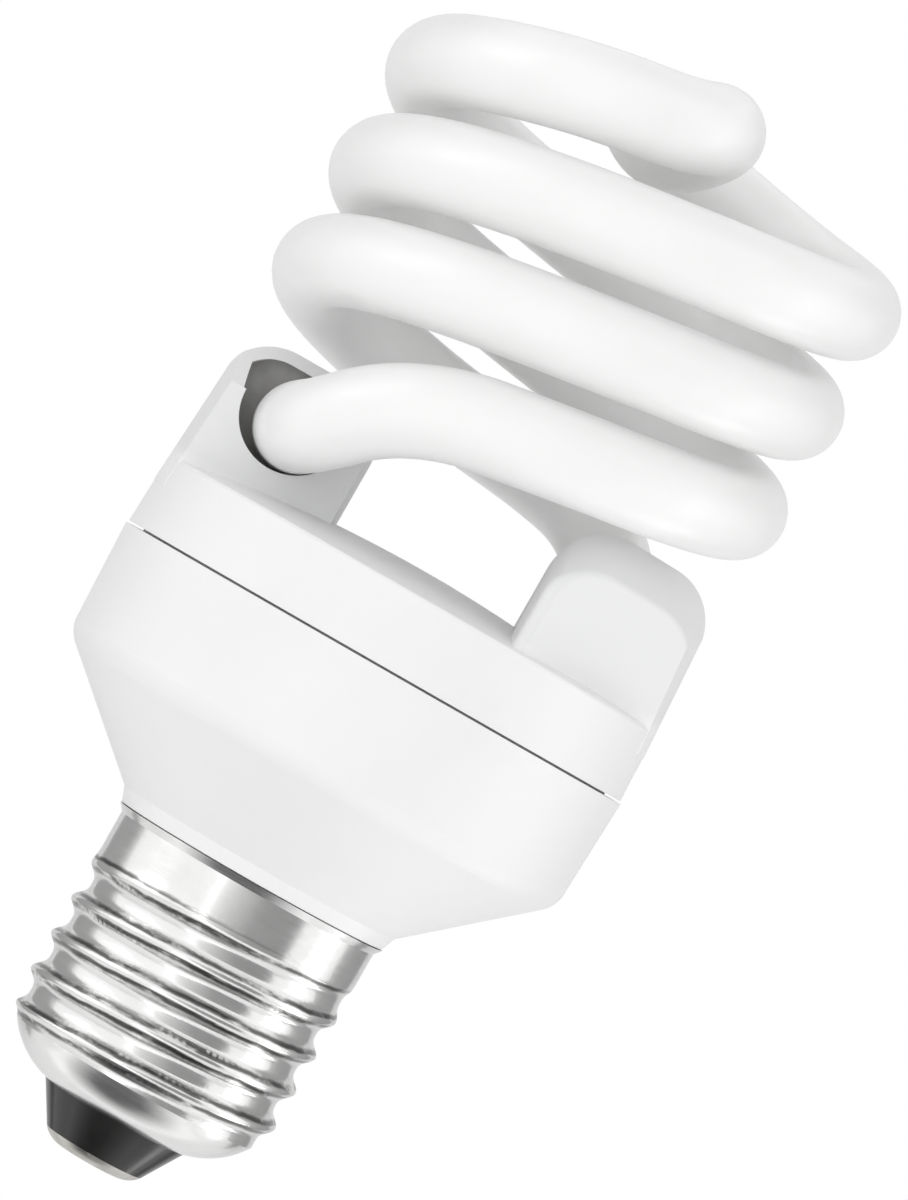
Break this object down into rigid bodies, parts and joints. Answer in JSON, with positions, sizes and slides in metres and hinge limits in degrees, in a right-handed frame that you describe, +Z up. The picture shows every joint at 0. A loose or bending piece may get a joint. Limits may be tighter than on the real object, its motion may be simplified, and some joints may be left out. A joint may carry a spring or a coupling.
{
  "type": "spiral energy saving bulb",
  "caption": "Compact fluorescent lamp: a white double-helix glass tube on a round ballast housing with an Edison screw cap.",
  "frame": {"origin": "middle of the flat face of the bottom contact, on the lamp's axis", "axes": "+Z up the lamp's axis from the cap to the glass, -Y towards the mouth of the left hood, +X to the right seen from there"},
  "size_m": [0.0518, 0.0522, 0.1103],
  "materials": {
    "coated_glass": "smooth white glass, coated inside",
    "white_plastic": "satin white moulding",
    "cap_metal": "rolled, nickel bright",
    "black_glass": "pressed, glossy black",
    "contact_metal": "tinned",
    "cement": "matt white",
    "laminate": "matt tan laminate",
    "ferrite": "matt dark grey",
    "bobbin_plastic": "matt natural nylon",
    "copper_wire": "enamelled copper",
    "can_sleeve": "shrunk dark sleeve",
    "case_black": "moulded matt black",
    "film_dip": "dipped gloss",
    "resistor_body": "matt lacquer",
    "disc_ceramic": "matt",
    "tinned_wire": "tinned wire",
    "wire_cover": "flexible white insulation"
  },
  "bodies": {
    "root": {"centre_contact": "contact_metal", "cap_insulator": "black_glass", "screw_shell": "cap_metal", "ballast_housing": "white_plastic", "tube_cover": "white_plastic", "discharge_tube": "coated_glass", "tube_cement_left": "cement", "tube_cement_right": "cement", "circuit_board": "laminate", "choke_core": "ferrite", "choke_bobbin": "bobbin_plastic", "choke_winding": "copper_wire", "choke_pins": "tinned_wire", "smoothing_capacitor": "can_sleeve", "transformer_core": "ferrite", "transformer_windings": "copper_wire", "transistor_high": "case_black", "transistor_low": "case_black", "rectifier_diode_1": "case_black", "rectifier_diode_2": "case_black", "rectifier_diode_3": "case_black", "rectifier_diode_4": "case_black", "resonant_capacitor": "film_dip", "coupling_capacitor": "film_dip", "fuse_resistor": "resistor_body", "diac": "resistor_body", "filter_inductor_core": "ferrite", "filter_inductor_winding": "copper_wire", "start_thermistor": "disc_ceramic", "filament_lead_1": "tinned_wire", "filament_lead_2": "tinned_wire", "filament_lead_3": "tinned_wire", "filament_lead_4": "tinned_wire", "lead_post_1": "tinned_wire", "lead_post_2": "tinned_wire", "lead_post_3": "tinned_wire", "lead_post_4": "tinned_wire", "centre_lead": "wire_cover", "shell_lead": "tinned_wire"}
  },
  "joints": []
}
